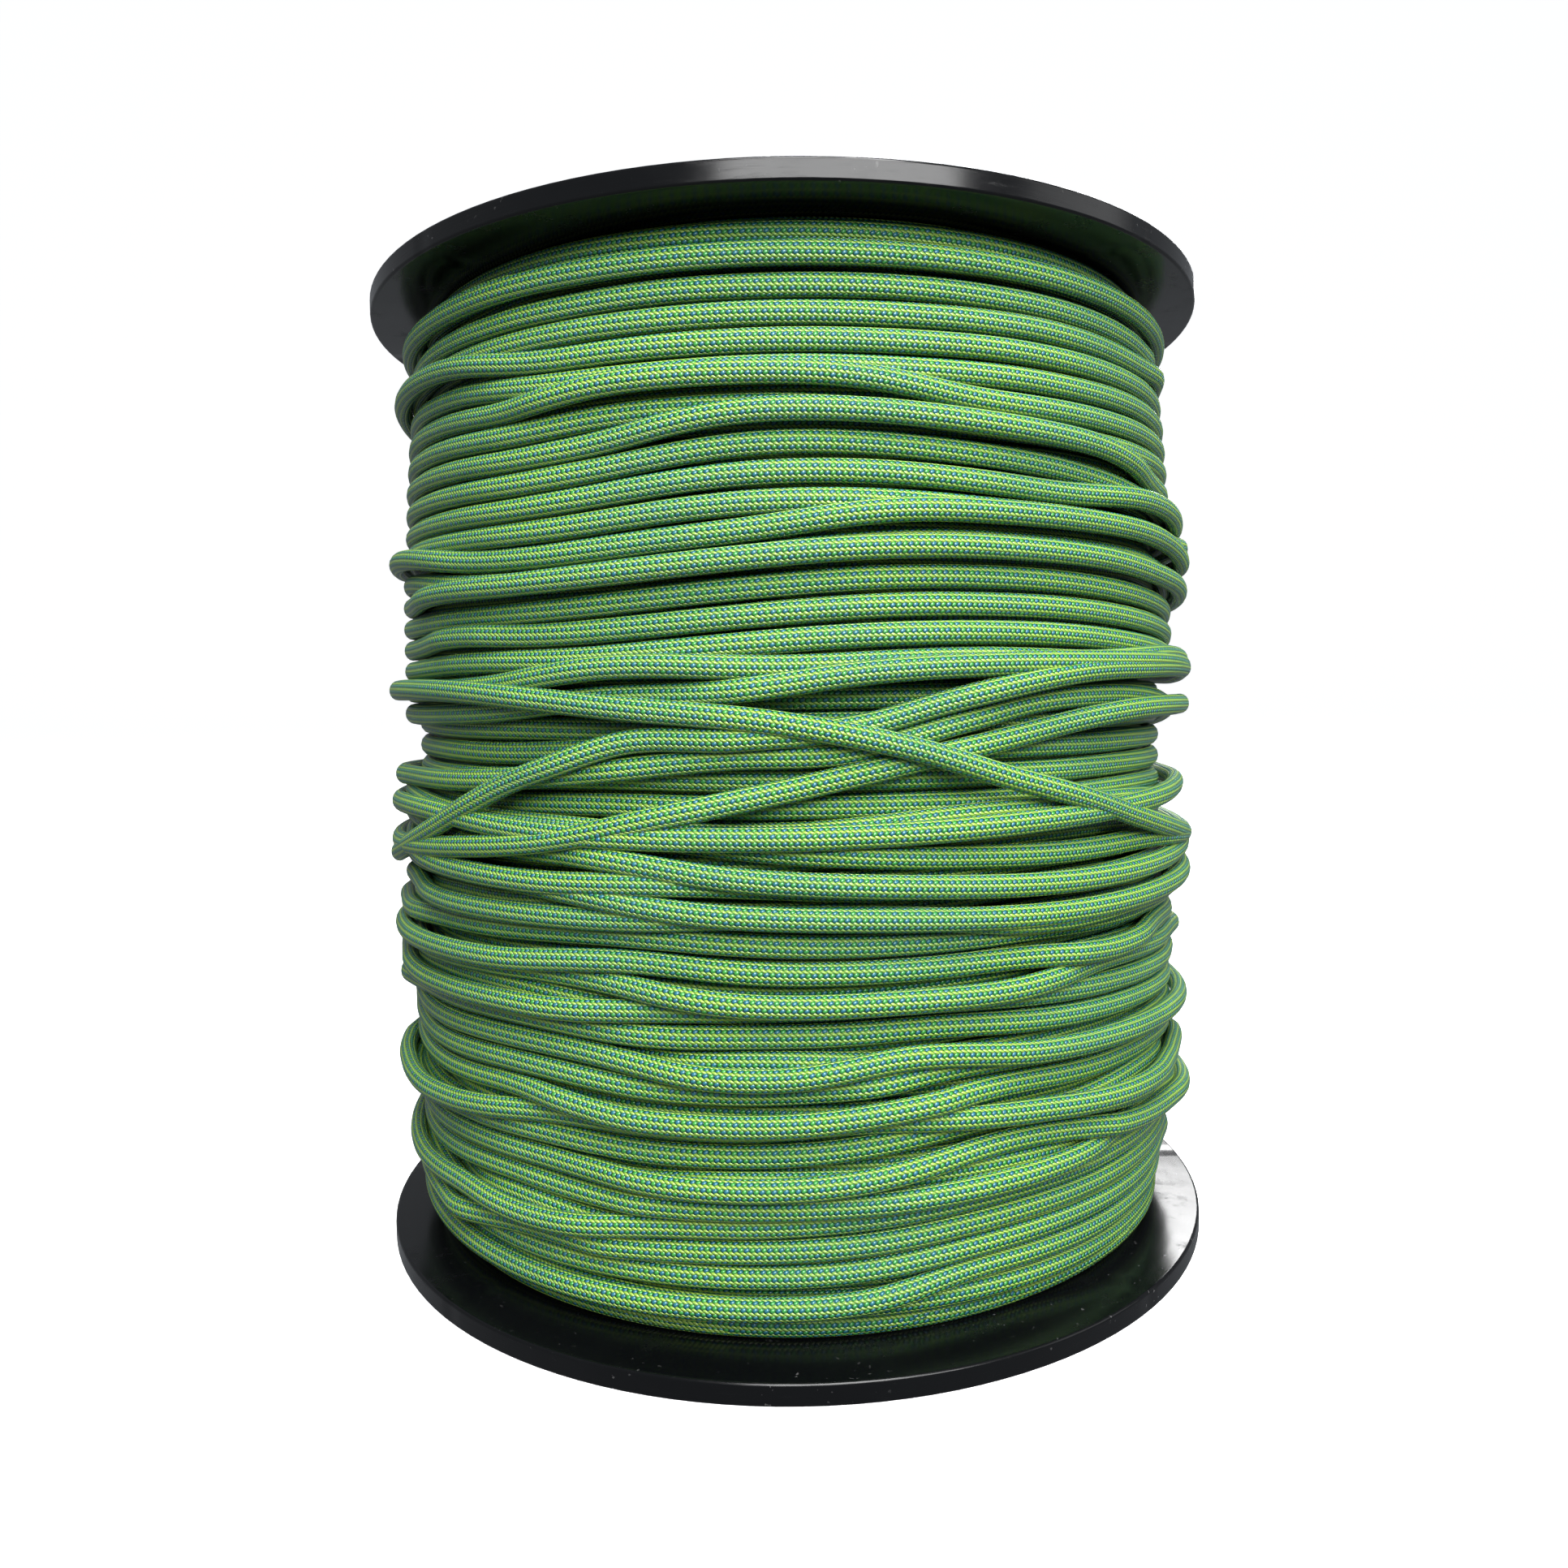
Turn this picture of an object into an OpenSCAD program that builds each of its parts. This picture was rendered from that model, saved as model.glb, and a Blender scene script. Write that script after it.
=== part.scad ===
// Bulk cord spool: two identical moulded flanges, tied over a barrel by three long bolts,
// wound full of braided cord. The axis is Z, and the spool stands on its lower flange.

/* [Spool] */
// Outside diameter of both flanges
flange_d = 172; // [150:1:210]
// Overall height, outer face to outer face
spool_h = 188; // [140:1:240]

/* [Flange] */
// Thickness of the rim, which is the whole thickness of a flange outside its hub
rim_t = 3.7; // [3.2:0.1:5]
// Radial width of the rim
rim_w = 5; // [3:0.5:8]
// Radius on the edges of the rim
rim_round = 0.5; // [0.3:0.1:1]
// Thickness of the web, flush with the flange's inner face
web_t = 2.4; // [2:0.1:2.6]
// Number of radial ribs on the outer face
rib_count = 8; // [4:1:16]
// Thickness of every rib
rib_w = 1.8; // [1.2:0.1:2.4]
// Depth of the ribs' tops below the outer face
rib_drop = 0.3; // [0.2:0.1:0.6]
// Diameter of the ring rib, half way out on the web
ring_d = 120; // [100:1:130]

/* [Hub] */
// Diameter of the bore that a rod goes through
arbor_d = 26; // [20:1:32]
// Chamfer at the mouth of the bore
arbor_chamfer = 0.8; // [0.4:0.1:1.2]
// Wall of the boss round the bore
boss_wall = 4; // [3.5:0.5:6]
// Depth of the hub's cup below the outer face
cup_depth = 12; // [11:0.5:16]
// Thickness of the cup's floor
cup_floor_t = 2.4; // [2:0.1:4]
// Wall of the cup, which is the spigot that the barrel fits over
cup_wall = 2.4; // [2:0.1:4]
// Depth of the cup's ribs below the outer face
cup_rib_drop = 5; // [4:0.5:6]
// Diameter of the hole for a winding machine's drive pin
drive_d = 8; // [6:0.5:9]

/* [Barrel and sleeve] */
// Wall of the barrel
barrel_wall = 3; // [2:0.5:5]
// Radial gap between the cup and the barrel
spigot_gap = 0.1; // [0.05:0.05:0.3]
// Wall of the arbor sleeve
sleeve_wall = 2; // [1.5:0.5:3]
// Depth of the sleeve's seat in each boss
seat_depth = 2; // [1:0.5:4]
// Radial gap round the sleeve in its seat
seat_gap = 0.1; // [0.05:0.05:0.3]

/* [Tie bolts] */
// Nominal diameter of the bolts
bolt_d = 5; // [4:1:6]
// Number of bolts
bolt_count = 3; // [3:1:4]
// Radial gap round a bolt in its hole
bolt_gap = 0.25; // [0.2:0.05:0.5]
// Room on both sides of a washer in the cup
washer_room = 1.25; // [1:0.25:3]
// Thickness of a washer
washer_t = 1; // [0.8:0.1:1.6]
// Length of thread that stands out of a nut
thread_out = 1.5; // [1:0.5:2.5]

/* [Cord] */
// Diameter of the cord
cord_d = 4; // [3:0.5:6]
// Distance from the fullest turns to the edge of the flange
fill_margin = 2.8; // [2.5:0.1:12]
// How much thinner the winding is where it meets the flanges
shoulder_drop = 11; // [4:0.5:16]
// Radial gap round the cord in the barrel's start hole
start_gap = 0.5; // [0.3:0.1:1]
// Room between the hub's cup and the stopper knot
knot_room = 6; // [3:1:12]
// Angle that the tucked outer end spans
tuck_angle = 24; // [12:1:40]
// Room between the tucked outer end and the edge of the flange
tuck_margin = 0.6; // [0.4:0.1:2]

/* [Hidden] */
$fn = 96;

flange_r = flange_d / 2;
arbor_r = arbor_d / 2;
boss_r = arbor_r + boss_wall;
washer_d = 2 * bolt_d;
bolt_hole_d = bolt_d + 2 * bolt_gap;
cup_in_r = boss_r + washer_d + 2 * washer_room;
bolt_r = (boss_r + cup_in_r) / 2;             // distance of the bolts from the axis
cup_r = cup_in_r + cup_wall;
cup_end = cup_depth + cup_floor_t;            // inner end of the hub, from the outer face
barrel_in_r = cup_r + spigot_gap;
barrel_r = barrel_in_r + barrel_wall;
sleeve_r = arbor_r + sleeve_wall;
web_z = rim_t - web_t;
lip_w = 1.6;                                  // raised lip round the mouth of the cup
overlap = 0.5;                                // how far joined shapes run into each other

hex_across = 1.6 * bolt_d;                    // across the flats of heads and nuts
head_t = 0.7 * bolt_d;
nut_t = bolt_d;                               // a lock nut, with its collar
nut_hex_t = 0.74 * bolt_d;
nut_collar_d = 1.5 * bolt_d;
nut_thread_gap = 0.05;
bolt_top = spool_h - cup_depth + washer_t;    // underside of the heads
bolt_end = cup_depth - washer_t - nut_t - thread_out;

cord_r = cord_d / 2;
fill_r = flange_r - fill_margin;              // the winding at its fullest
shoulder_r = fill_r - shoulder_drop;          // the winding at the flanges
wind_z0 = rim_t;
wind_z1 = spool_h - rim_t;
wind_steps = 32;
knot_r = 1.25 * cord_d;
start_z = cup_end + knot_room + knot_r;
start_angle = 180 / bolt_count;               // half way between two bolts
start_hole_r = cord_r + start_gap;
// The knot is pulled against the rim of the start hole
knot_x = sqrt(pow(barrel_in_r, 2) - pow(start_hole_r, 2)) - sqrt(pow(knot_r, 2) - pow(start_hole_r, 2));
tuck_r = flange_r - tuck_margin - cord_r;     // distance of the outer end from the axis
tuck_z = spool_h / 2;
tuck_start = 90 - tuck_angle / 2;             // the outer end lies at the back
cut = 1;                                      // how far cutters run past what they cut

// The waste outside a rounded corner whose two edges run along +X and +Y
module corner_waste(r) {
    difference() {
        translate([-cut, -cut]) square(r + cut);
        translate([r, r]) circle(r);
        translate([r, -2 * cut]) square(r + 2 * cut);
        translate([-2 * cut, r]) square(r + 2 * cut);
    }
}

// Half section of a flange: its outer face is at 0 and its inner face at rim_t
module flange_section() {
    difference() {
        translate([flange_r - rim_w, 0]) square([rim_w, rim_t]);
        translate([flange_r, 0]) mirror([1, 0]) corner_waste(rim_round);
        translate([flange_r, rim_t]) mirror([1, 0]) mirror([0, 1]) corner_waste(rim_round);
        translate([flange_r - rim_w, 0]) corner_waste(rim_round);
    }
    translate([cup_in_r, web_z]) square([flange_r - rim_w - cup_in_r + overlap, web_t]);
    translate([cup_in_r, rib_drop]) square([cup_wall + lip_w, web_z - rib_drop + overlap]);
    translate([cup_in_r, web_z]) square([cup_wall, cup_end - web_z]);
    translate([boss_r - overlap, cup_depth]) square([cup_in_r - boss_r + 2 * overlap, cup_floor_t]);
    translate([ring_d / 2 - rib_w / 2, rib_drop]) square([rib_w, web_z - rib_drop + overlap]);
    boss_section();
}

// The boss round the bore, chamfered at its mouth and counterbored for the sleeve
module boss_section() {
    polygon([
        [arbor_r + arbor_chamfer, 0], [boss_r, 0], [boss_r, cup_end],
        [sleeve_r + seat_gap, cup_end], [sleeve_r + seat_gap, cup_end - seat_depth],
        [arbor_r, cup_end - seat_depth], [arbor_r, arbor_chamfer]
    ]);
}

module radial_ribs() {
    for (i = [0 : rib_count - 1])
        rotate(i * 360 / rib_count)
            translate([cup_r, -rib_w / 2, rib_drop])
                cube([flange_r - rim_w / 2 - cup_r, rib_w, web_z - rib_drop + overlap]);
}

// Short ribs that brace the boss against the cup, half way between the bolts
module cup_ribs() {
    for (i = [0 : bolt_count - 1])
        rotate(start_angle + i * 360 / bolt_count)
            translate([boss_r - overlap, -rib_w / 2, cup_rib_drop])
                cube([cup_in_r - boss_r + 2 * overlap, rib_w, cup_depth - cup_rib_drop + overlap]);
}

module at_bolts() {
    for (i = [0 : bolt_count - 1])
        rotate(i * 360 / bolt_count) translate([bolt_r, 0, 0]) children();
}

module flange() {
    difference() {
        union() {
            rotate_extrude() flange_section();
            radial_ribs();
            cup_ribs();
        }
        at_bolts() translate([0, 0, cup_depth - cut]) cylinder(d = bolt_hole_d, h = cup_floor_t + 2 * cut);
        rotate(start_angle / 2) translate([bolt_r, 0, cup_depth - cut])
            cylinder(d = drive_d, h = cup_floor_t + 2 * cut);
    }
}

module lower_flange() {
    color("#15171a") flange();
}

module upper_flange() {
    color("#15171a") translate([0, 0, spool_h]) rotate([180, 0, 0]) flange();
}

module barrel() {
    color("#26282b") difference() {
        translate([0, 0, wind_z0]) cylinder(r = barrel_r, h = wind_z1 - wind_z0);
        cylinder(r = barrel_in_r, h = spool_h);
        rotate(start_angle) translate([knot_x, 0, start_z]) rotate([0, 90, 0])
            cylinder(r = start_hole_r, h = 2 * knot_r + barrel_wall);
    }
}

module arbor_sleeve() {
    color("#c9c3b2") difference() {
        translate([0, 0, cup_end - seat_depth])
            cylinder(r = sleeve_r, h = spool_h - 2 * (cup_end - seat_depth));
        cylinder(r = arbor_r, h = spool_h);
    }
}

module hexagon(across, h) {
    cylinder(r = across / 2 / cos(30), h = h, $fn = 6);
}

module tie_bolts() {
    color("#b9bcc0") at_bolts() {
        translate([0, 0, bolt_end]) cylinder(d = bolt_d, h = bolt_top - bolt_end + overlap);
        translate([0, 0, bolt_top]) hexagon(hex_across, head_t);
    }
}

module washer(z) {
    translate([0, 0, z]) difference() {
        cylinder(d = washer_d, h = washer_t);
        translate([0, 0, -cut]) cylinder(d = bolt_hole_d, h = washer_t + 2 * cut);
    }
}

module head_washers() {
    color("#a9adb2") at_bolts() washer(spool_h - cup_depth);
}

module nut_washers() {
    color("#a9adb2") at_bolts() washer(cup_depth - washer_t);
}

// Each nut is a hexagon with a round collar on its outer side
module lock_nuts() {
    color("#b9bcc0") at_bolts() translate([0, 0, cup_depth - washer_t - nut_t]) difference() {
        union() {
            translate([0, 0, nut_t - nut_hex_t]) hexagon(hex_across, nut_hex_t);
            cylinder(d = nut_collar_d, h = nut_t);
        }
        translate([0, 0, -cut]) cylinder(r = bolt_d / 2 + nut_thread_gap, h = nut_t + 2 * cut);
    }
}

// Radius of the winding at s, which runs from -1 at one flange to 1 at the other:
// a barrel shape with full shoulders
function wind_radius(s) = shoulder_r + shoulder_drop * pow(1 - s * s, 0.25);

// Steps in s are closer together towards the flanges, where the outline turns most
function wind_step(i) = -cos(180 * i / wind_steps);

module cord_winding() {
    color("#4f9a4e") difference() {
        rotate_extrude() polygon(concat(
            [for (i = [0 : wind_steps])
                [wind_radius(wind_step(i)), wind_z0 + (wind_z1 - wind_z0) * (1 + wind_step(i)) / 2]],
            [[barrel_r, wind_z1], [barrel_r, wind_z0]]
        ));
        tucked_arc();
    }
}

// A stretch of cord bent round the axis
module tucked_arc() {
    translate([0, 0, tuck_z]) rotate(tuck_start)
        rotate_extrude(angle = tuck_angle) translate([tuck_r, 0]) circle(cord_r, $fn = 32);
}

module cord_outer_end() {
    color("#7fc24f") tucked_arc();
}

module at_start() {
    rotate(start_angle) translate([knot_x, 0, start_z]) children();
}

// From the first turn on the barrel, in through the start hole to the knot
module cord_start() {
    color("#7fc24f") difference() {
        intersection() {
            at_start() rotate([0, 90, 0]) cylinder(r = cord_r, h = 2 * knot_r + barrel_wall, $fn = 32);
            cylinder(r = barrel_r, h = spool_h);
        }
        at_start() sphere(knot_r, $fn = 48);
    }
}

module cord_start_knot() {
    color("#7fc24f") at_start() sphere(knot_r, $fn = 48);
}

lower_flange();
upper_flange();
barrel();
arbor_sleeve();
tie_bolts();
head_washers();
nut_washers();
lock_nuts();
cord_winding();
cord_start();
cord_start_knot();
cord_outer_end();
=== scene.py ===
import math
import bpy
import numpy as np
from mathutils import Matrix, Vector


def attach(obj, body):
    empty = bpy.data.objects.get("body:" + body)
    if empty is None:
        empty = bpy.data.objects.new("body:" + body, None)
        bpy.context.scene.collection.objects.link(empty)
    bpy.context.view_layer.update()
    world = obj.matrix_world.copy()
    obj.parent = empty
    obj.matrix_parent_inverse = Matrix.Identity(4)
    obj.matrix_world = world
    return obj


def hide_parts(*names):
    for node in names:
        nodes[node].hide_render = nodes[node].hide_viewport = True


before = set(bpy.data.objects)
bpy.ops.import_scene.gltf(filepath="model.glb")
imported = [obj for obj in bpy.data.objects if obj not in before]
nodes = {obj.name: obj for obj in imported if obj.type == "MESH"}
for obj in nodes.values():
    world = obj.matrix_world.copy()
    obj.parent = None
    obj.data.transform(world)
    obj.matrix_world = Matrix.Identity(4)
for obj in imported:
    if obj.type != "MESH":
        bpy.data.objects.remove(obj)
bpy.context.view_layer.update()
scene = bpy.context.scene
mm = 0.001

# where the camera stands in millimetres, how it is tipped and rolled in degrees, and its lens
eye = {
    "side": -1.1, "away": 258.2, "height": 109.4, "down": 1.97, "roll": 0.97,
    "lens": 26.49, "sensor": 36, "rise": -0.0344, "near": 0.01, "far": 20,
}


def placeCamera():
    # looks along +Y, tipped down a little, with a slight roll about its own line of sight
    data = bpy.data.cameras.new("front_camera")
    camera = bpy.data.objects.new("front_camera", data)
    scene.collection.objects.link(camera)
    data.sensor_width = eye["sensor"]
    data.lens = eye["lens"]
    data.shift_y = eye["rise"]
    data.clip_start = eye["near"]
    data.clip_end = eye["far"]
    data.dof.use_dof = False
    aim = Matrix.Rotation(math.radians(90 - eye["down"]), 4, "X")
    tilt = Matrix.Rotation(math.radians(-eye["roll"]), 4, "Z")
    place = Vector((eye["side"] * mm, -eye["away"] * mm, eye["height"] * mm))
    camera.matrix_world = Matrix.Translation(place) @ aim @ tilt
    scene.camera = camera


# each light's place, its width and height in metres, and its watts; all of them face the aim
studio = {
    "air": (0.93, 0.98, 1.05, 1), "airStrength": 0.24, "aim": (0, 0, 0.1),
    "lights": {
        "key_light": ((0.14, -0.57, 0.38), (0.6, 0.25), 5.6),
        "top_light": ((0.1, -0.52, 0.85), (0.5, 0.4), 12),
        "side_light": ((0.9, -0.2, 0.5), (0.5, 0.5), 1),
        "back_light": ((0.3, 1.1, 0.8), (0.6, 0.6), 17),
    },
}


def softLight(name, place, size, power):
    data = bpy.data.lights.new(name, "AREA")
    data.shape = "RECTANGLE"
    data.size, data.size_y = size
    data.energy = power
    light = bpy.data.objects.new(name, data)
    scene.collection.objects.link(light)
    back = (Vector(place) - Vector(studio["aim"])).normalized()
    light.matrix_world = Matrix.Translation(Vector(place)) @ back.to_track_quat("Z", "Y").to_matrix().to_4x4()


def lightStudio():
    # a dim even light from all round, and the four soft lights
    scene.view_settings.view_transform = "Standard"
    world = bpy.data.worlds.new("studio")
    scene.world = world
    world.use_nodes = True
    back = world.node_tree.nodes["Background"]
    back.inputs["Color"].default_value = studio["air"]
    back.inputs["Strength"].default_value = studio["airStrength"]
    for name, (place, size, power) in studio["lights"].items():
        softLight(name, place, size, power)


placeCamera()
lightStudio()
print("camera and light are in place")


# small helpers for building shaders: each adds one node to the tree and gives back its output
def newMaterial(name):
    material = bpy.data.materials.new(name)
    material.use_nodes = True
    tree = material.node_tree
    return material, tree, tree.nodes["Principled BSDF"]


def put(tree, socket, value):
    # sets a plain number or colour, or links an output
    if isinstance(value, (int, float, tuple)):
        socket.default_value = value
    else:
        tree.links.new(value, socket)


def maths(tree, kind, a, b=0.0, c=0.0):
    node = tree.nodes.new("ShaderNodeMath")
    node.operation = kind
    for socket, value in zip(node.inputs, (a, b, c)):
        put(tree, socket, value)
    return node.outputs[0]


def mixColour(tree, amount, first, second):
    node = tree.nodes.new("ShaderNodeMix")
    node.data_type = "RGBA"
    node.clamp_factor = True
    put(tree, node.inputs[0], amount)
    put(tree, node.inputs[6], first)
    put(tree, node.inputs[7], second)
    return node.outputs[2]


def ramp(tree, value, low, high, newLow=0.0, newHigh=1.0, smooth=False):
    # takes low..high to newLow..newHigh, and holds both ends
    node = tree.nodes.new("ShaderNodeMapRange")
    node.interpolation_type = "SMOOTHSTEP" if smooth else "LINEAR"
    node.clamp = True
    for socket, number in zip(node.inputs, (value, low, high, newLow, newHigh)):
        put(tree, socket, number)
    return node.outputs[0]


def noise(tree, vector, scale, detail=2.0, rough=0.5):
    node = tree.nodes.new("ShaderNodeTexNoise")
    put(tree, node.inputs["Vector"], vector)
    node.inputs["Scale"].default_value = scale
    node.inputs["Detail"].default_value = detail
    node.inputs["Roughness"].default_value = rough
    return node.outputs[0]


def placeOf(tree):
    return tree.nodes.new("ShaderNodeTexCoord").outputs["Object"]


def bump(tree, height, distance, normal=None):
    # distance in metres for a height of one, on top of another bump where normal is given
    node = tree.nodes.new("ShaderNodeBump")
    node.inputs["Distance"].default_value = distance
    put(tree, node.inputs["Height"], height)
    if normal is not None:
        put(tree, node.inputs["Normal"], normal)
    return node.outputs[0]


def split(tree, vector):
    node = tree.nodes.new("ShaderNodeSeparateXYZ")
    put(tree, node.inputs[0], vector)
    return node.outputs


def stretched(tree, vector, factors):
    node = tree.nodes.new("ShaderNodeVectorMath")
    node.operation = "MULTIPLY"
    put(tree, node.inputs[0], vector)
    node.inputs[1].default_value = factors
    return node.outputs[0]


def shade(tree, shader, **values):
    # sets or links the shader's own sockets, named with _ for a space
    for name, value in values.items():
        put(tree, shader.inputs[name.replace("_", " ")], value)


# metres: the floor's half width, its front edge, where it starts to bend, the bend's radius, the wall's top
floorShape = {
    "half": 9.0, "front": -8.0, "flatTo": 4, "bend": 2, "top": 8.0, "steps": 13, "grey": 0.85, "glow": 0.8,
}


def layFloor():
    # a floor that bends up far behind into a wall, left out of the mirror reflections
    bend = np.linspace(0, 1, floorShape["steps"]) * np.pi / 2
    radius = floorShape["bend"]
    wall = floorShape["flatTo"] + radius
    y = np.concatenate([[floorShape["front"]], floorShape["flatTo"] + radius * np.sin(bend), [wall]])
    z = np.concatenate([[0.0], radius - radius * np.cos(bend), [floorShape["top"]]])
    n = len(y)
    x = np.repeat([-floorShape["half"], floorShape["half"]], n)
    points = np.stack([x, np.tile(y, 2), np.tile(z, 2)], 1)
    i = np.arange(n - 1)
    quads = np.stack([i, i + n, i + n + 1, i + 1], 1)
    mesh = bpy.data.meshes.new("floor")
    mesh.from_pydata(points.tolist(), [], quads.tolist())
    mesh.polygons.foreach_set("use_smooth", np.ones(n - 1, bool))
    floor = bpy.data.objects.new("floor", mesh)
    scene.collection.objects.link(floor)
    material, tree, shader = newMaterial("pale_floor")
    shade(tree, shader, Base_Color=(floorShape["grey"],) * 3 + (1,), Roughness=0.9, Specular_IOR_Level=0.1)
    shade(tree, shader, Emission_Color=(1, 1, 1, 1), Emission_Strength=floorShape["glow"])
    mesh.materials.append(material)
    floor.visible_glossy = False
    floor.visible_diffuse = False


layFloor()
print("floor is laid")

# the cord in millimetres: half its width and height as it lies, the braid's strands in one direction, the
# length of one row of the braid, and how far the braid turns round the cord in a millimetre
cord = {"halfWidth": 1.95, "halfHeight": 1.62, "strands": 20, "rowLength": 0.912, "twist": 0.0011}

# the room between the flanges in millimetres: the full winding's radius at the middle and at its shoulders,
# and how high crests may reach, from capBase at a flange up by capRise over about capReach
room = {
    "bottom": 3.7, "top": 184.3, "full": 83.2, "shoulder": 72.2,
    "capBase": 71, "capRise": 14, "capReach": 6.5,
}

# how the turns are laid, in millimetres, and in radians for the blurs
lay = {
    "seed": 21,
    "samples": 480,  # points round one turn
    "step": 0.25,  # height of one cell of the pile
    "depth": 11.0,  # depth of the three upper layers
    "inner": 44, "middle": 45, "crossing": 5,  # turns
    "pitch": 3.45, "inset": 2.2, "lowerEnd": 83, "upperEnd": 113.5,  # the outer layer, in two halves
    "slides": 8, "push": 0.5, "mostPush": 0.4, "grip": 0.4,  # how a turn slips down what it lies on
    "memory": 0.86, "jitter": 0.2, "wander": (0.2, 0.3, 0.7),  # how far turns stray, layer by layer
    "calmDrift": 12, "calmJitter": 6, "follow": 0.5,  # less so near a flange
    "pushBlur": 0.05, "turnBlur": 0.1, "seatBlur": 0.02, "gap": 0.03, "give": 1.1,
    "spans": (24, 16, 8, 4, 2, 1), "pulls": 12,  # samples bridged when a turn is pulled tight
}
angle = np.arange(lay["samples"]) * 2 * np.pi / lay["samples"]
heights = np.arange(room["bottom"], room["top"] + 1e-9, lay["step"])
reach = int(cord["halfWidth"] / lay["step"])
offsets = np.arange(-reach, reach + 1)
crown = cord["halfHeight"] * np.sqrt(np.clip(1 - (offsets * lay["step"] / cord["halfWidth"]) ** 2, 0, 1))
column = np.arange(lay["samples"])[:, None]
low = room["bottom"] + cord["halfWidth"]
high = room["top"] - cord["halfWidth"]

# the last five turns cross one another at the middle: degrees from the back, height
lastTurns = [
    (0, 88), (60, 89.5), (98, 88.5), (130, 89), (147, 87.4), (180, 86.6), (215, 88),
    (250, 90), (300, 91), (360, 91.5), (420, 93), (470, 94), (500, 95), (515, 96.6),
    (533, 99), (546, 99.6), (560, 104), (570, 106.8), (582, 107.8), (605, 106), (630, 102),
    (670, 95), (720, 88.5), (770, 84), (815, 81), (856, 83.4), (874, 86.4), (887, 90.4),
    (900, 94), (912, 97.5), (926, 101), (942, 104.6), (965, 105.5), (993, 104.4), (1035, 99),
    (1080, 91), (1130, 84), (1170, 77), (1189, 78.4), (1210, 86), (1219, 91), (1226, 95),
    (1232, 97.7), (1241, 101.5), (1254, 102), (1269, 104), (1277, 107), (1294, 111.5), (1310, 112.5),
    (1340, 112.5), (1390, 112), (1440, 111), (1500, 110.5), (1529, 110.5), (1583, 109.5), (1601, 107),
    (1619, 104.3), (1632, 100.5), (1646, 94.5), (1654, 91.5), (1665, 87), (1685, 81), (1706, 78),
    (1735, 80), (1765, 88), (1784, 93), (1800, 94), (1812, 94),
]


def outline(z):
    # the full winding's radius at a height: the fourth root of a parabola, so flat with rounded shoulders
    s = 2 * (z - room["bottom"]) / (room["top"] - room["bottom"]) - 1
    return room["shoulder"] + (room["full"] - room["shoulder"]) * np.clip(1 - s * s, 0, 1) ** 0.25


def cap(z):
    # the furthest a crest may reach: close to the flanges the turns sit lower
    gap = np.minimum(z - room["bottom"], room["top"] - z)
    return room["capBase"] + room["capRise"] * (1 - np.exp(-gap / room["capReach"]))


def smoothed(values, width):
    # Gaussian blur round the closed ring: each wave shrinks by exp of minus half of (its count times width)^2
    wave = np.fft.rfft(values)
    k = np.arange(len(wave))
    return np.fft.irfft(wave * np.exp(-(k * width) ** 2 / 2), len(values))


def wandering(rng, size):
    # three slow waves of random size round the ring
    k = np.arange(1, 4)
    a, b = rng.normal(size=(2, 3)) / k ** 0.8
    wave = (a[:, None] * np.cos(k[:, None] * angle) + b[:, None] * np.sin(k[:, None] * angle)).sum(0)
    return size * wave / np.sqrt((1 / k ** 1.6).sum())


def seat(pile, z):
    # radius at which the cord's middle rests on the pile: the highest touch across its width
    k = np.rint((z - room["bottom"]) / lay["step"]).astype(int)
    index = np.clip(k[:, None] + offsets, 0, len(heights) - 1)
    return (pile[column, index] + crown).max(1)


def pulledTaut(r):
    # a tight cord bridges hollows: in 1/r, a straight bridge is the mean of its two ends divided by the
    # cosine of the span to either
    u = 1 / r
    for span in lay["spans"]:
        chord = 2 * np.cos(span * 2 * np.pi / len(r))
        for again in range(lay["pulls"]):
            u = np.minimum(u, (np.roll(u, span) + np.roll(u, -span)) / chord)
    return 1 / u


def heap(pile, z, r):
    # raises the pile by the cord's rounded back, an ellipse over its middle
    k = (z - room["bottom"]) / lay["step"]
    index = np.rint(k).astype(int)[:, None] + offsets
    d = (index - k[:, None]) * lay["step"] / cord["halfWidth"]
    back = r[:, None] + cord["halfHeight"] * np.sqrt(np.clip(1 - d * d, 0, 1))
    index = np.clip(index, 0, len(heights) - 1)
    np.maximum.at(pile, (np.broadcast_to(column, index.shape), index), back)


def layTurn(pile, z, slides):
    # slides the turn down the slopes under it, then pulls it tight and holds it near the outline
    for again in range(slides):
        slope = seat(pile, np.clip(z + 0.5, low, high)) - seat(pile, np.clip(z - 0.5, low, high))
        push = np.where(np.abs(slope) > lay["grip"], -lay["push"] * slope, 0)
        push = np.clip(push, -lay["mostPush"], lay["mostPush"])
        z = np.clip(z + smoothed(push, lay["pushBlur"]), low, high)
    if slides:
        z = np.clip(smoothed(z, lay["turnBlur"]), low, high)
    r = pulledTaut(smoothed(seat(pile, z), lay["seatBlur"]) + lay["gap"])
    over = r + cord["halfHeight"] - cap(z) + lay["give"]
    held = lay["give"] * (1 - np.exp(-np.maximum(over, 0) / lay["give"]))
    r = np.where(over > 0, r - over + held, r)
    heap(pile, z, r)
    return z, r


def layLayer(pile, rng, places, size):
    # each turn follows the wander of the one before it and adds a little of its own
    drift = np.zeros(len(angle))
    turns = []
    for nominal in places:
        space = min(nominal - low, high - nominal)
        drift = lay["memory"] * drift + wandering(rng, size)
        shift = drift * min(1, space / lay["calmDrift"])
        shift = shift + rng.normal() * lay["jitter"] * min(1, space / lay["calmJitter"])
        wanted = np.clip(nominal + shift, low, high)
        z, r = layTurn(pile, wanted, lay["slides"])
        drift = drift + lay["follow"] * (z - wanted)
        turns.append((z, r))
    return turns


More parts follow.
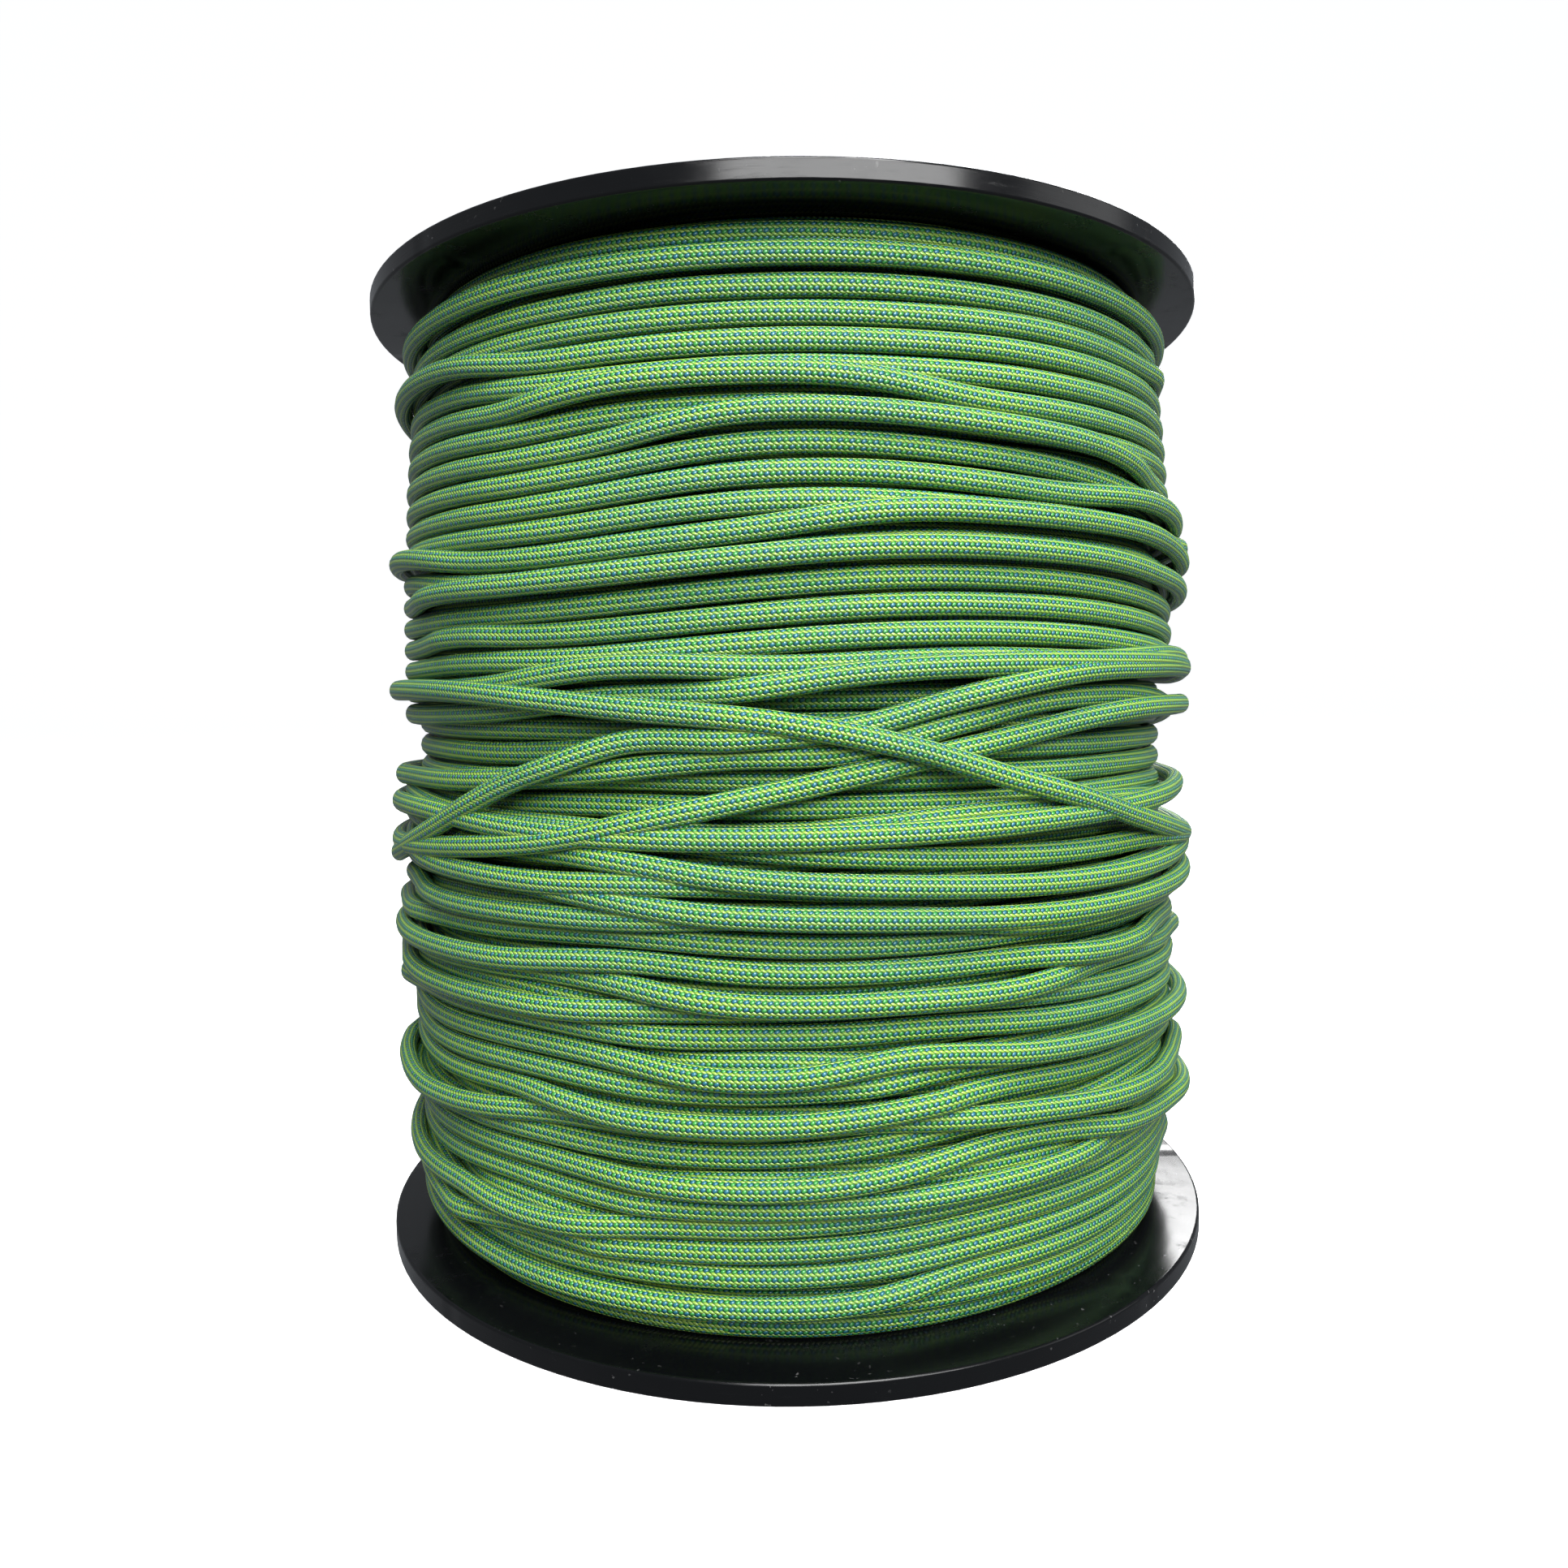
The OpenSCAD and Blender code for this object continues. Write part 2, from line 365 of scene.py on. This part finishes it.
def routeAt(degrees):
    # height of the last turns at any angle along them, by smooth cubic pieces through their points
    a, h = np.array(lastTurns, float).T
    m = np.gradient(h, a)
    x = np.clip(degrees, a[0], a[-1])
    i = np.clip(np.searchsorted(a, x, side="right") - 1, 0, len(a) - 2)
    w = a[i + 1] - a[i]
    t = (x - a[i]) / w
    return ((2 * t ** 3 - 3 * t ** 2 + 1) * h[i] + (t ** 3 - 2 * t ** 2 + t) * w * m[i]
            + (3 * t ** 2 - 2 * t ** 3) * h[i + 1] + (t ** 3 - t ** 2) * w * m[i + 1])


def windAll():
    # the pile is the winding's radius at every angle and height, and each turn is laid on it in order
    rng = np.random.default_rng(lay["seed"])
    pile = np.tile(outline(heights) - lay["depth"], (lay["samples"], 1))
    span = high - low
    first = low + span * np.linspace(0, 1, lay["inner"])
    second = high - span * np.linspace(0.004, 0.996, lay["middle"])
    rising = np.arange(low + lay["inset"], lay["lowerEnd"], lay["pitch"])
    falling = np.arange(high - lay["inset"], lay["upperEnd"], -lay["pitch"])
    inner = layLayer(pile, rng, first, lay["wander"][0])
    middle = layLayer(pile, rng, second, lay["wander"][1])
    lower = layLayer(pile, rng, rising, lay["wander"][2])
    upper = layLayer(pile, rng, falling, lay["wander"][2])
    crossing = [layTurn(pile, routeAt(np.degrees(angle) + 360 * k), 0) for k in range(lay["crossing"])]
    return inner, middle, lower, upper, crossing


inner, middle, lower, upper, crossing = windAll()
print("wound", len(inner), len(middle), len(lower), len(upper), len(crossing), "turns")

# yarn and bead sizes are shares of the braid's cell, bump is in metres for a height of one
braidLook = {
    "yarnBack": 0.56, "yarnWave": 0.48, "narrow": 1.9,
    "beadHeight": 0.95, "beadWide": 0.78, "beadLong": 0.49, "beadLean": -0.15,
    "lime": (0.28, 0.47, 0.065, 1), "green": (0.045, 0.30, 0.045, 1), "blue": (0.022, 0.15, 0.22, 1),
    # gap is painted shade: the dark colour given to the low places between the yarns
    "gap": (0.01, 0.085, 0.025, 1), "dull": (0.015, 0.14, 0.09, 1), "dullness": 0.3,
    "roughness": 0.24, "specular": 0.9, "bump": 0.00045,
}


def braidMaterial():
    # two sets of yarns wind round the cord at a slant, over two and under two. The lime set's height is a
    # yarn's round back plus a wave along it. The other set shows as rows of oval beads, green and blue in
    # turn. Whichever is higher shows, and low places between the yarns get painted shade
    look = braidLook
    material, tree, shader = newMaterial("cord_braid")
    node = tree.nodes.new("ShaderNodeUVMap")
    node.uv_map = "braid"
    u, v = split(tree, node.outputs[0])[:2]
    a = maths(tree, "MULTIPLY", u, cord["strands"])
    b = maths(tree, "DIVIDE", v, cord["rowLength"])
    p = maths(tree, "ADD", a, b)
    q = maths(tree, "SUBTRACT", a, b)
    side = maths(tree, "MULTIPLY", maths(tree, "SUBTRACT", maths(tree, "FRACT", p), 0.5), look["narrow"])
    back = maths(tree, "SQRT", maths(tree, "SUBTRACT", 1, maths(tree, "MULTIPLY", side, side)))
    along = maths(tree, "SUBTRACT", maths(tree, "ADD", maths(tree, "FLOOR", p), q), 1)
    wave = maths(tree, "COSINE", maths(tree, "MULTIPLY", along, math.pi / 2))
    wave = maths(tree, "MULTIPLY", wave, look["yarnWave"])
    lime = maths(tree, "MULTIPLY_ADD", back, look["yarnBack"], wave)
    # where the point lies in its bead: -1..1 across the row, -0.5..0.5 along it
    row = maths(tree, "FRACT", maths(tree, "MULTIPLY_ADD", a, 0.5, -0.375))
    acrossBead = maths(tree, "MULTIPLY_ADD", row, 2, -1)
    shifted = maths(tree, "ADD", b, 0.25)
    alongBead = maths(tree, "SUBTRACT", maths(tree, "FRACT", shifted), 0.5)
    alongBead = maths(tree, "MULTIPLY_ADD", acrossBead, look["beadLean"], alongBead)
    wide = maths(tree, "DIVIDE", maths(tree, "ABSOLUTE", acrossBead), look["beadWide"])
    wide = maths(tree, "POWER", wide, 2)
    long = maths(tree, "DIVIDE", maths(tree, "ABSOLUTE", alongBead), look["beadLong"])
    long = maths(tree, "POWER", long, 2)
    inside = maths(tree, "MAXIMUM", maths(tree, "SUBTRACT", 1, maths(tree, "ADD", wide, long)), 0)
    bead = maths(tree, "MULTIPLY", maths(tree, "SQRT", inside), look["beadHeight"])
    isLime = maths(tree, "GREATER_THAN", lime, bead)
    isBlue = maths(tree, "LESS_THAN", maths(tree, "FLOORED_MODULO", maths(tree, "FLOOR", shifted), 2), 0.5)
    height = maths(tree, "MAXIMUM", lime, bead)
    beads = mixColour(tree, isBlue, look["green"], look["blue"])
    colour = mixColour(tree, isLime, beads, look["lime"])
    # painted shade: the lower the yarns lie, the more their colour goes over to the dark gap colour
    colour = mixColour(tree, ramp(tree, height, 0.2, 0.85), look["gap"], colour)
    spread = noise(tree, placeOf(tree), 45, 3)
    colour = mixColour(tree, ramp(tree, spread, 0.4, 0.7, 0, look["dullness"]), colour, look["dull"])
    shade(tree, shader, Base_Color=colour, Roughness=look["roughness"], Specular_IOR_Level=look["specular"])
    shade(tree, shader, Normal=bump(tree, height, look["bump"]))
    return material


# distances in metres
flangeLook = {
    "black": (0.0018, 0.0020, 0.0024, 1), "worn": (0.004, 0.0045, 0.005, 1), "dust": (0.12, 0.12, 0.12, 1),
    "smooth": 0.15, "dulled": 0.25, "scuffed": 0.25, "specular": 0.32, "ribs": 8, "sinkWidth": 0.0035,
    "sinkDepth": 0.00012, "turning": 2600, "turningDepth": 0.0000015, "ripple": 0.00008, "marks": 0.00002,
}


def flangePlastic():
    # near-black moulded plastic: faint sink lines over the ribs, fine turning marks, scuffs and dust
    look = flangeLook
    material, tree, shader = newMaterial("flange_plastic")
    place = placeOf(tree)
    x, y, z = split(tree, place)
    around = maths(tree, "ARCTAN2", y, x)
    squares = maths(tree, "ADD", maths(tree, "MULTIPLY", x, x), maths(tree, "MULTIPLY", y, y))
    radius = maths(tree, "SQRT", squares)
    # distance from the nearest rib: the angle from it times the radius
    ribAngle = 2 * math.pi / look["ribs"]
    share = maths(tree, "MULTIPLY", around, 1 / ribAngle)
    turn = maths(tree, "SUBTRACT", share, maths(tree, "ROUND", share))
    off = maths(tree, "MULTIPLY", maths(tree, "ABSOLUTE", turn), maths(tree, "MULTIPLY", radius, ribAngle))
    sink = ramp(tree, off, 0.0, look["sinkWidth"], smooth=True)
    smudge = noise(tree, place, 28, 4, 0.6)
    scuff = noise(tree, stretched(tree, place, (1, 1, 9)), 130, 5, 0.7)
    rough = ramp(tree, smudge, 0.3, 0.7, look["smooth"], look["dulled"])
    rough = maths(tree, "ADD", rough, ramp(tree, scuff, 0.55, 0.8, 0, look["scuffed"]))
    dust = ramp(tree, noise(tree, place, 900, 2), 0.70, 0.76)
    patch = ramp(tree, noise(tree, place, 40, 2), 0.45, 0.65)
    dusty = maths(tree, "MULTIPLY", maths(tree, "MULTIPLY", dust, patch), 0.6)
    colour = mixColour(tree, ramp(tree, smudge, 0.4, 0.8, 0, 0.5), look["black"], look["worn"])
    colour = mixColour(tree, dusty, colour, look["dust"])
    rings = maths(tree, "SINE", maths(tree, "MULTIPLY", radius, look["turning"]))
    marks = noise(tree, stretched(tree, place, (1, 1, 60)), 60, 3, 0.6)
    wave = bump(tree, noise(tree, place, 45, 2), look["ripple"])
    wave = bump(tree, sink, look["sinkDepth"], wave)
    wave = bump(tree, rings, look["turningDepth"], wave)
    wave = bump(tree, marks, look["marks"], wave)
    shade(tree, shader, Base_Color=colour, Roughness=rough, Specular_IOR_Level=look["specular"], Normal=wave)
    return material


barrelLook = {"colour": (0.02, 0.021, 0.022), "roughness": 0.45, "grain": 400}
sleeveLook = {"colour": (0.55, 0.52, 0.44), "roughness": 0.4, "grain": 300}


def plainPlastic(name, look):
    # matt plastic with a fine grain, a shade darker in its specks
    material, tree, shader = newMaterial(name)
    speck = noise(tree, placeOf(tree), look["grain"], 3)
    pale = look["colour"] + (1,)
    dark = tuple(c * 0.85 for c in look["colour"]) + (1,)
    grain = ramp(tree, speck, 0.3, 0.7)
    rough = ramp(tree, speck, 0.3, 0.7, look["roughness"], look["roughness"] + 0.1)
    shade(tree, shader, Base_Color=mixColour(tree, grain, pale, dark), Roughness=rough)
    shade(tree, shader, Normal=bump(tree, speck, 0.00005))
    return material


steelLook = {"pale": (0.60, 0.62, 0.65, 1), "dark": (0.46, 0.48, 0.52, 1), "smooth": 0.26, "dulled": 0.40}


def zincSteel():
    # zinc-plated steel, clouded in colour and gloss
    look = steelLook
    material, tree, shader = newMaterial("zinc_steel")
    place = placeOf(tree)
    cloud = noise(tree, place, 220, 3)
    rough = ramp(tree, cloud, 0.3, 0.7, look["smooth"], look["dulled"])
    shade(tree, shader, Metallic=1.0, Base_Color=mixColour(tree, cloud, look["pale"], look["dark"]))
    shade(tree, shader, Roughness=rough, Normal=bump(tree, noise(tree, place, 900, 2), 0.00003))
    return material


def finishCad(material, slotName, *names):
    # the carried-over nodes keep their shape and take a finish
    for name in names:
        node = nodes[name]
        node.data.materials.clear()
        node.data.materials.append(material)


braid = braidMaterial()
finishCad(flangePlastic(), "flange_plastic", "lower_flange", "upper_flange")
finishCad(plainPlastic("barrel_plastic", barrelLook), "barrel_plastic", "barrel")
finishCad(plainPlastic("sleeve_plastic", sleeveLook), "sleeve_plastic", "arbor_sleeve")
finishCad(zincSteel(), "zinc_steel", "tie_bolts", "head_washers", "nut_washers", "lock_nuts")
print("flanges, barrel, sleeve and fasteners are finished")


def cordPiece(name, points, corners, sizes, u, v, stoodFor):
    # a mesh in the braid from whole arrays: points in millimetres, every face's corners in a row, how many
    # corners each face has, and the braid's map at each corner: u round the cord, v along it
    mesh = bpy.data.meshes.new(name)
    mesh.vertices.add(len(points))
    mesh.vertices.foreach_set("co", (points * mm).ravel())
    mesh.loops.add(len(corners))
    mesh.loops.foreach_set("vertex_index", corners.astype(np.int32))
    mesh.polygons.add(len(sizes))
    mesh.polygons.foreach_set("loop_start", (np.cumsum(sizes) - sizes).astype(np.int32))
    mesh.update(calc_edges=True)
    layer = mesh.uv_layers.new(name="braid")
    layer.data.foreach_set("uv", np.stack([u, v], 1).ravel())
    mesh.polygons.foreach_set("use_smooth", np.ones(len(sizes), bool))
    mesh.materials.append(braid)
    mesh.validate()
    piece = bpy.data.objects.new(name, mesh)
    scene.collection.objects.link(piece)
    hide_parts(stoodFor)
    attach(piece, "root")


def smoothStep(x):
    x = np.clip(x, 0, 1)
    return x * x * (3 - 2 * x)


def frameAlong(path, outward):
    # outward and across directions at every point of the path, square to it
    tangent = np.gradient(path, axis=0)
    tangent /= np.linalg.norm(tangent, axis=1, keepdims=True)
    outward = outward - tangent * (outward * tangent).sum(1, keepdims=True)
    outward /= np.linalg.norm(outward, axis=1, keepdims=True)
    return outward, np.cross(tangent, outward)


def lengthAlong(path):
    return np.concatenate([[0], np.cumsum(np.linalg.norm(np.diff(path, axis=0), axis=1))])


def lengthLeft(path):
    steps = np.linalg.norm(np.diff(path, axis=0), axis=1)
    return np.concatenate([np.cumsum(steps[::-1])[::-1], [0]])


def tube(name, path, outward, stoodFor, sides, scale=None, half=None, start=0.0):
    # an oval carried along the path, closed by a fan at both ends. scale shrinks it point by point, half is
    # its half width and height, and start is the cord's length before it, for the braid
    up, across = frameAlong(path, outward)
    wide, tall = half or (cord["halfWidth"], cord["halfHeight"])
    count = len(path)
    size = np.ones(count) if scale is None else scale
    turn = (np.arange(sides) * 2 * np.pi / sides)[None, :, None]
    ring = wide * np.cos(turn) * across[:, None, :] + tall * np.sin(turn) * up[:, None, :]
    points = path[:, None, :] + ring * size[:, None, None]
    points = np.concatenate([points.reshape(-1, 3), path[:1], path[-1:]])
    i = np.arange(count - 1)[:, None]
    j = np.arange(sides)
    k = (j + 1) % sides
    quads = np.stack([i * sides + j, (i + 1) * sides + j, (i + 1) * sides + k, i * sides + k], -1)
    last = (count - 1) * sides
    startFan = np.stack([np.full(sides, count * sides), j, k], -1)
    endFan = np.stack([np.full(sides, count * sides + 1), last + k, last + j], -1)
    corners = np.concatenate([quads.ravel(), startFan.ravel(), endFan.ravel()])
    sizes = np.concatenate([np.full((count - 1) * sides, 4), np.full(2 * sides, 3)])
    along = start + lengthAlong(path)
    near = np.broadcast_to(along[:-1, None], (count - 1, sides))
    far = np.broadcast_to(along[1:, None], (count - 1, sides))
    this, following = j / sides, (j + 1) / sides
    uQuad = np.broadcast_to(np.stack([this, this, following, following], -1), (count - 1, sides, 4))
    uStart = np.stack([np.zeros(sides), this, following], -1)
    uEnd = np.stack([np.zeros(sides), following, this], -1)
    u = np.concatenate([uQuad.ravel(), uStart.ravel(), uEnd.ravel()])
    v = np.stack([near, far, far, near], -1).ravel()
    v = np.concatenate([v, np.full(3 * sides, along[0]), np.full(3 * sides, along[-1])])
    cordPiece(name, points, corners, sizes, u + cord["twist"] * v, v, stoodFor)


def radialOut(path):
    out = path * np.array([1, 1, 0])
    return out / np.linalg.norm(out, axis=1, keepdims=True)


core = {"inside": 35.05, "clear": 0.05, "turns": 44, "samples": 5, "segments": 120}


def packedTurns():
    # all that lies under the three upper layers, as one closed ring round the barrel. Its outside is ridged
    # like a layer of turns: the radius is the outline less their depth, lowered between two ridges
    bottom = room["bottom"] + core["clear"]
    top = room["top"] - core["clear"]
    part = np.linspace(0, core["turns"], core["turns"] * core["samples"] + 1)
    z = bottom + (top - bottom) * part / core["turns"]
    groove = cord["halfHeight"] * (1 - np.sqrt(np.clip(1 - (2 * (part % 1) - 1) ** 2, 0, 1)))
    radius = outline(z) - lay["depth"] - groove
    radius = np.concatenate([[core["inside"]], radius, [core["inside"]]])
    z = np.concatenate([[bottom], z, [top]])
    part = np.concatenate([[0], part, [core["turns"]]])
    rows, columns = len(z), core["segments"]
    turn = np.arange(columns) * 2 * np.pi / columns
    x = radius[:, None] * np.cos(turn)
    y = radius[:, None] * np.sin(turn)
    points = np.stack([x, y, np.broadcast_to(z[:, None], x.shape)], -1).reshape(-1, 3)
    i, j = np.broadcast_arrays(np.arange(rows)[:, None], np.arange(columns))
    above = (i + 1) % rows
    beside = (j + 1) % columns
    here, over = i * columns, above * columns
    quads = np.stack([here + j, here + beside, over + beside, over + j], -1)
    u = np.stack([part[i], part[i], part[above], part[above]], -1) / 2
    v = np.stack([j, j + 1, j + 1, j], -1) * (2 * np.pi * room["shoulder"] / columns)
    sizes = np.full(rows * columns, 4)
    cordPiece("packed_turns", points, quads.ravel(), sizes, u.ravel(), v.ravel(), "cord_winding")


# degrees over which one turn slips into the next at the back, and over which an end dives under
slip = {"bridge": 28, "dive": 15}


def pathOf(turns, rings, dive, route=None, span=None):
    # one cord through all the turns: at the back each turn slips over into the next. dive is how far in
    # millimetres each end goes down under its neighbours; route gives the heights where they are known
    start, end = span or (0, len(turns))
    total = np.linspace(start, end, int(round((end - start) * rings)) + 1)
    turn = np.clip(np.floor(total).astype(int), 0, len(turns) - 1)
    part = total - turn
    z, r = (np.array([t[n] for t in turns]) for n in (0, 1))
    x = part * z.shape[1]
    i = np.floor(x).astype(int)
    f = x - i

    def ringAt(values, k):
        # linear reading of turn k at each angle
        k = np.clip(k, 0, len(turns) - 1)
        n = values.shape[1]
        return values[k, i % n] * (1 - f) + values[k, (i + 1) % n] * f

    half = slip["bridge"] / 360
    late = np.where(part > 0.5, smoothStep((part - 1 + half) / (2 * half)), 0)
    early = np.where(part < 0.5, 1 - smoothStep((part + half) / (2 * half)), 0)
    z, r = (ringAt(v, turn) * (1 - late - early) + ringAt(v, turn + 1) * late + ringAt(v, turn - 1) * early
            for v in (z, r))
    if route:
        z = route(total * 360)
    out = slip["dive"] / 360
    r = r - dive[0] * (1 - smoothStep((total - start) / out))
    r = r - dive[1] * (1 - smoothStep((end - total) / out))
    theta = total * 2 * np.pi
    return np.stack([-r * np.sin(theta), r * np.cos(theta), z], 1)


# each layer's rings in a turn, sides round the cord, and how far its two ends dive, in millimetres
layers = {
    "inner_turns": (inner, 120, 10, (6, 0)),
    "middle_turns": (middle, 160, 12, (0, 6)),
    "outer_turns_lower": (lower, 240, 16, (6, 0)),
    "outer_turns_upper": (upper, 240, 16, (6, 6)),
}
# the crossing turns' rings and sides, and where the tucked outer end starts and stops, in degrees
tuck = {"rings": 360, "sides": 18, "from": 1788, "to": 1812}

packedTurns()
for name, (turns, rings, sides, dive) in layers.items():
    layerPath = pathOf(turns, rings, dive)
    tube(name, layerPath, radialOut(layerPath), "cord_winding", sides)
tuckTurn = tuck["from"] / 360
crossPath = pathOf(crossing, tuck["rings"], (0, 0), route=routeAt, span=(0, tuckTurn))
tube("crossing_turns", crossPath, radialOut(crossPath), "cord_winding", tuck["sides"])
print("wound cord is made")

# millimetres: how far back the sealed tip is rounded and pinched, and how many points join it on
tip = {"rings": 720, "round": 1.6, "pinch": 0.08, "pinchLength": 2, "join": 16}


def rounded(left, length):
    # a quarter ellipse over the last stretch, never quite down to nothing
    return np.sqrt(np.clip(1 - np.clip(1 - left / length, 0, 1) ** 2, 0.002, 1))


def outerEnd():
    # the last degrees, going on from the crossing turns, with a rounded heat-sealed tip
    path = pathOf(crossing, tip["rings"], (0, 0), route=routeAt, span=(tuckTurn, tuck["to"] / 360))
    path = path + (crossPath[-1] - path[0]) * (1 - smoothStep(np.arange(len(path)) / tip["join"]))[:, None]
    left = lengthLeft(path)
    scale = rounded(left, tip["round"]) * (1 - tip["pinch"] * np.exp(-left / tip["pinchLength"]))
    tube("outer_end", path, radialOut(path), "cord_outer_end", tuck["sides"], scale=scale,
         start=lengthAlong(crossPath)[-1])


# the inner end's overhand knot: a trefoil on a small ring, up against the barrel's wall over the start hole.
# millimetres from the spool's axis, and the part of the knotted curve that is used, in radians
knot = {
    "ring": 4.0, "swing": 2.0, "thick": 1.75, "angle": 60, "hole": 25.4, "away": 27.1, "out": 37.0,
    "from": 0.2, "short": 0.45, "points": 260, "bend": 6, "ease": 3, "tail": 7, "wall": 31.6, "round": 1.5,
}


def bezier(a, b, c, d, count):
    t = np.linspace(0, 1, count)[:, None]
    return (1 - t) ** 3 * a + 3 * (1 - t) ** 2 * t * b + 3 * (1 - t) * t ** 2 * c + t ** 3 * d


def trefoil(t):
    # two turns round the ring while swinging three times about it: the points, and their outward side
    r = knot["ring"] + knot["swing"] * np.cos(3 * t)
    point = np.stack([r * np.cos(2 * t), r * np.sin(2 * t), knot["swing"] * np.sin(3 * t)], -1)
    side = np.stack([np.cos(3 * t) * np.cos(2 * t), np.cos(3 * t) * np.sin(2 * t), np.sin(3 * t)], -1)
    return point, side


def innerEnd():
    # in through the hole, round the knot and a short straight tail, laid flat and then turned to the wall
    points, side = trefoil(np.linspace(knot["from"], 2 * np.pi - knot["short"], knot["points"]))
    first = points[1] - points[0]
    first /= np.linalg.norm(first)
    final = points[-1] - points[-2]
    final /= np.linalg.norm(final)
    edge = knot["ring"] + knot["swing"]
    start = np.array([edge, 0, knot["away"] - knot["out"]])
    lead = bezier(start, start + [0, 0, knot["bend"]], points[0] - knot["ease"] * first, points[0], 60)[:-1]
    tail = points[-1] + final * np.linspace(0, knot["tail"], 30)[1:, None]
    path = np.concatenate([lead, points, tail])
    blend = smoothStep(np.linspace(0, 1, len(lead)))[:, None]
    leadUp = np.array([1.0, 0, 0]) * (1 - blend) + side[0] * blend
    up = np.concatenate([leadUp, side, np.repeat(side[-1:], len(tail), 0)])
    a = math.radians(knot["angle"])
    out = np.array([math.cos(a), math.sin(a), 0])
    along = np.array([-math.sin(a), math.cos(a), 0])
    axes = np.stack([[0, 0, -1.0], -along, -out])
    path = out * knot["away"] + np.array([0, 0, knot["hole"] + edge]) + path @ axes
    up = up @ axes
    cut = int(np.argmax(path @ out < knot["wall"]))
    scale = rounded(lengthLeft(path), knot["round"])
    half = (knot["thick"], knot["thick"])
    tube("start_cord", path[:cut + 1], up[:cut + 1], "cord_start", tuck["sides"], half=half)
    tube("start_knot", path[cut:], up[cut:], "cord_start_knot", tuck["sides"], scale=scale[cut:], half=half,
         start=lengthAlong(path)[cut])


outerEnd()
innerEnd()
print("cord ends are made")
